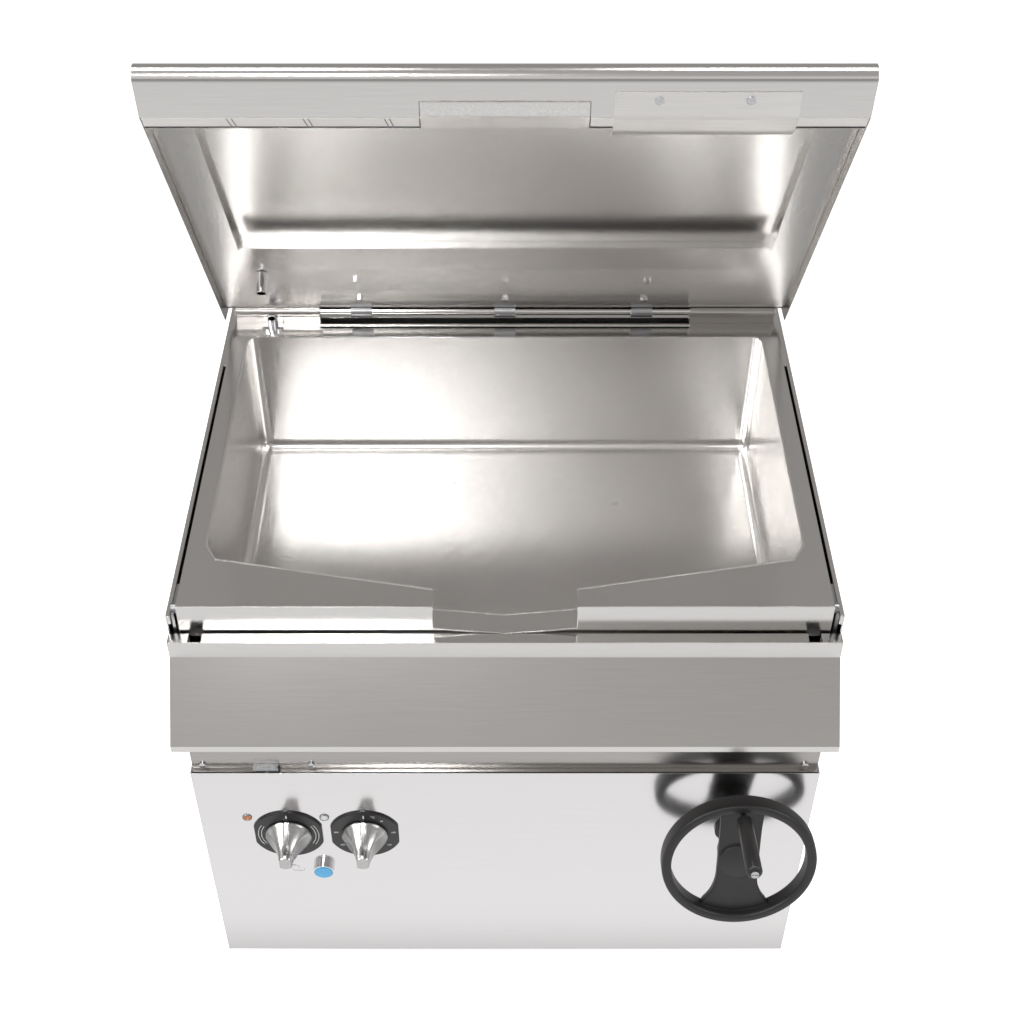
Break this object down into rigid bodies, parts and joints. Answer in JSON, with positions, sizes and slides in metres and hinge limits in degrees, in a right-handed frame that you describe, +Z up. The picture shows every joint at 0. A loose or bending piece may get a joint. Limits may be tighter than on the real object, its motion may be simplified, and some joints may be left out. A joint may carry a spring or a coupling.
{
  "type": "tilting braising pan",
  "caption": "Floor-standing electric braising pan in a stainless cabinet: a deep pan with a pouring lip, tilted by a front handwheel, under a hinged balanced lid.",
  "frame": {"origin": "on the floor, at the centre of the box round the whole object", "axes": "+X to the right seen from the front, +Y to the back, +Z up"},
  "size_m": [0.801, 0.8277, 1.3892],
  "materials": {
    "brushed_stainless": "brushed, satin",
    "polished_stainless": "fine polished",
    "galvanised_steel": "galvanised, matt",
    "machined_steel": "machined",
    "zinc_fasteners": "bright plated",
    "chrome": "bright chrome",
    "knob_metal": "satin",
    "grey_cast_iron": "painted grey",
    "bearing_bronze": "turned",
    "valve_brass": "cast and turned",
    "element_sheath": "oxidised",
    "spring_steel": "oiled",
    "mineral_wool": "matted fibre",
    "black_plastic": "satin black",
    "wheel_plastic": "satin black phenolic",
    "switch_plastic": "moulded",
    "gland_plastic": "moulded",
    "foot_plastic": "moulded",
    "buffer_rubber": "moulded",
    "orange_lens": "translucent orange",
    "clear_lens": "translucent clear",
    "blue_plastic": "gloss blue"
  },
  "bodies": {
    "cabinet": {"base_frame": "galvanised_steel", "bottom_plate": "galvanised_steel", "leg_sleeves": "brushed_stainless", "leg_feet": "foot_plastic", "side_panel_right": "brushed_stainless", "side_panel_left": "brushed_stainless", "rear_panel": "galvanised_steel", "rear_deck": "brushed_stainless", "front_fascia": "brushed_stainless", "front_wall": "brushed_stainless", "control_panel": "brushed_stainless", "panel_clips": "galvanised_steel", "panel_screws": "zinc_fasteners", "cross_beam": "galvanised_steel", "rest_buffers": "buffer_rubber", "trunnion_plates": "machined_steel", "trunnion_pins": "machined_steel", "mitre_gearbox": "grey_cast_iron", "worm_bracket": "machined_steel", "shaft_flange": "black_plastic", "knob_bezels": "black_plastic", "power_switch": "switch_plastic", "thermostat": "switch_plastic", "pilot_lamp_orange": "orange_lens", "pilot_lamp_clear": "clear_lens", "button_collar": "chrome", "water_valve": "valve_brass", "contactor": "switch_plastic", "terminal_block": "switch_plastic", "cable_gland": "gland_plastic"},
    "pan": {"pan_tub": "polished_stainless", "pan_rim": "polished_stainless", "pan_sole": "machined_steel", "heating_elements": "element_sheath", "element_clamp_plate": "galvanised_steel", "pan_insulation": "mineral_wool", "pan_casing": "galvanised_steel", "trunnion_bushes": "bearing_bronze", "tilt_sector": "machined_steel", "hinge_housings": "brushed_stainless", "torsion_springs": "spring_steel", "hinge_stop_rod": "polished_stainless", "water_riser": "chrome"},
    "lid": {"lid_shell": "brushed_stainless", "lid_liner": "polished_stainless", "lid_baffle": "brushed_stainless", "lid_handle": "brushed_stainless", "lid_handle_screws": "zinc_fasteners", "lid_hinge_tube": "polished_stainless", "lid_hinge_arms": "machined_steel", "lid_bolts": "zinc_fasteners", "lid_nozzle": "chrome"},
    "handwheel": {"handwheel": "wheel_plastic", "wheel_shaft": "machined_steel", "grip_spindle": "zinc_fasteners"},
    "grip": {"grip_sleeve": "wheel_plastic"},
    "worm": {"worm_shaft": "machined_steel"},
    "left_knob": {"knob_left": "knob_metal"},
    "right_knob": {"knob_right": "knob_metal"},
    "button": {"water_button": "blue_plastic"}
  },
  "joints": [
    {"name": "pan_tilt", "type": "hinge", "parent": "cabinet", "child": "pan", "pos_m": [0, -0.215, 0.835], "axis": [1, 0, 0], "range_deg": [0, 75]},
    {"name": "lid_hinge", "type": "hinge", "parent": "pan", "child": "lid", "pos_m": [0, 0.339, 0.866], "axis": [-1, 0, 0], "range_deg": [-59.8, 30]},
    {"name": "handwheel_turn", "type": "hinge", "parent": "cabinet", "child": "handwheel", "pos_m": [0.301, -0.322, 0.476], "axis": [0, 0.9744, -0.225], "range_deg": [0, 2250]},
    {"name": "worm_turn", "type": "hinge", "parent": "cabinet", "child": "worm", "pos_m": [0.301, -0.176, 0.835], "axis": [0, 0, 1], "range_deg": [-2250, 0]},
    {"name": "grip_spin", "type": "hinge", "parent": "handwheel", "child": "grip", "pos_m": [0.301, -0.34343, 0.561], "axis": [0, 0.9744, -0.225], "continuous": true},
    {"name": "left_knob_turn", "type": "hinge", "parent": "cabinet", "child": "left_knob", "pos_m": [-0.2866, -0.265, 0.454], "axis": [0, 1, 0], "range_deg": [0, 270]},
    {"name": "right_knob_turn", "type": "hinge", "parent": "cabinet", "child": "right_knob", "pos_m": [-0.1856, -0.265, 0.454], "axis": [0, 1, 0], "range_deg": [0, 300]},
    {"name": "button_press", "type": "slide", "parent": "cabinet", "child": "button", "axis": [0, 1, 0], "range_m": [0, 0.004], "stiffness_N_per_m": 700}
  ],
  "couplings": [
    {"joint": "handwheel_turn", "follows": "pan_tilt", "ratio": 30},
    {"joint": "worm_turn", "follows": "pan_tilt", "ratio": -30}
  ]
}
